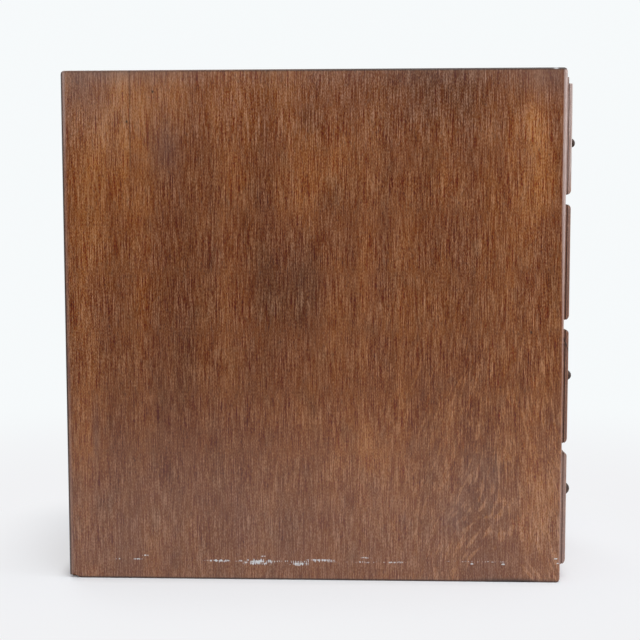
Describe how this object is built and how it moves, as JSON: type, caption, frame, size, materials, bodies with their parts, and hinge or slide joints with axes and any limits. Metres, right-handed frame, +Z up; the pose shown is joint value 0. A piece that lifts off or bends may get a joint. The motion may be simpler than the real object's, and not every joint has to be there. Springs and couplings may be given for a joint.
{
  "type": "desktop file cabinet",
  "caption": "Slim stained-oak desktop file cabinet: a plain case with a stack of lipped, dovetailed card drawers, cup pulls with title frames and sliding card followers.",
  "frame": {"origin": "middle of the case's footprint, on the surface that the cabinet stands on", "axes": "+Z up, drawers open towards -Y, +X across the cabinet to the right as seen from the front"},
  "size_m": [0.186, 0.4687, 0.457],
  "materials": {
    "case_oak": "satin",
    "drawer_wood": "matte",
    "panel_wood": "matte",
    "pull_metal": "aged",
    "iron": "dark",
    "steel": "dull"
  },
  "bodies": {
    "case": {"side_left": "case_oak", "side_right": "case_oak", "top_board": "case_oak", "bottom_board": "case_oak", "back_panel": "panel_wood", "back_nails": "iron", "runner_screws": "steel", "rail_1": "case_oak", "rail_2": "case_oak", "rail_3": "case_oak", "runner_1_left": "drawer_wood", "runner_1_right": "drawer_wood", "runner_2_left": "drawer_wood", "runner_2_right": "drawer_wood", "runner_3_left": "drawer_wood", "runner_3_right": "drawer_wood"},
    "drawer_1": {"drawer_1_front": "case_oak", "drawer_1_side_left": "drawer_wood", "drawer_1_side_right": "drawer_wood", "drawer_1_back": "drawer_wood", "drawer_1_bottom": "panel_wood", "drawer_1_pull": "pull_metal", "drawer_1_pull_screws": "iron", "drawer_1_track": "steel", "drawer_1_track_screws": "steel"},
    "follower_1": {"drawer_1_follower": "steel"},
    "drawer_2": {"drawer_2_front": "case_oak", "drawer_2_side_left": "drawer_wood", "drawer_2_side_right": "drawer_wood", "drawer_2_back": "drawer_wood", "drawer_2_bottom": "panel_wood", "drawer_2_pull": "pull_metal", "drawer_2_pull_screws": "iron", "drawer_2_track": "steel", "drawer_2_track_screws": "steel"},
    "follower_2": {"drawer_2_follower": "steel"},
    "drawer_3": {"drawer_3_front": "case_oak", "drawer_3_side_left": "drawer_wood", "drawer_3_side_right": "drawer_wood", "drawer_3_back": "drawer_wood", "drawer_3_bottom": "panel_wood", "drawer_3_pull": "pull_metal", "drawer_3_pull_screws": "iron", "drawer_3_track": "steel", "drawer_3_track_screws": "steel"},
    "follower_3": {"drawer_3_follower": "steel"},
    "drawer_4": {"drawer_4_front": "case_oak", "drawer_4_side_left": "drawer_wood", "drawer_4_side_right": "drawer_wood", "drawer_4_back": "drawer_wood", "drawer_4_bottom": "panel_wood", "drawer_4_pull": "pull_metal", "drawer_4_pull_screws": "iron", "drawer_4_track": "steel", "drawer_4_track_screws": "steel"},
    "follower_4": {"drawer_4_follower": "steel"}
  },
  "joints": [
    {"name": "drawer_1_slide", "type": "slide", "parent": "case", "child": "drawer_1", "axis": [0, -1, 0], "range_m": [0, 0.33]},
    {"name": "drawer_2_slide", "type": "slide", "parent": "case", "child": "drawer_2", "axis": [0, -1, 0], "range_m": [0, 0.33]},
    {"name": "drawer_3_slide", "type": "slide", "parent": "case", "child": "drawer_3", "axis": [0, -1, 0], "range_m": [0, 0.33]},
    {"name": "drawer_4_slide", "type": "slide", "parent": "case", "child": "drawer_4", "axis": [0, -1, 0], "range_m": [0, 0.33]},
    {"name": "follower_1_slide", "type": "slide", "parent": "drawer_1", "child": "follower_1", "axis": [0, -1, 0], "range_m": [0, 0.31]},
    {"name": "follower_2_slide", "type": "slide", "parent": "drawer_2", "child": "follower_2", "axis": [0, -1, 0], "range_m": [0, 0.31]},
    {"name": "follower_3_slide", "type": "slide", "parent": "drawer_3", "child": "follower_3", "axis": [0, -1, 0], "range_m": [0, 0.31]},
    {"name": "follower_4_slide", "type": "slide", "parent": "drawer_4", "child": "follower_4", "axis": [0, -1, 0], "range_m": [0, 0.31]}
  ]
}
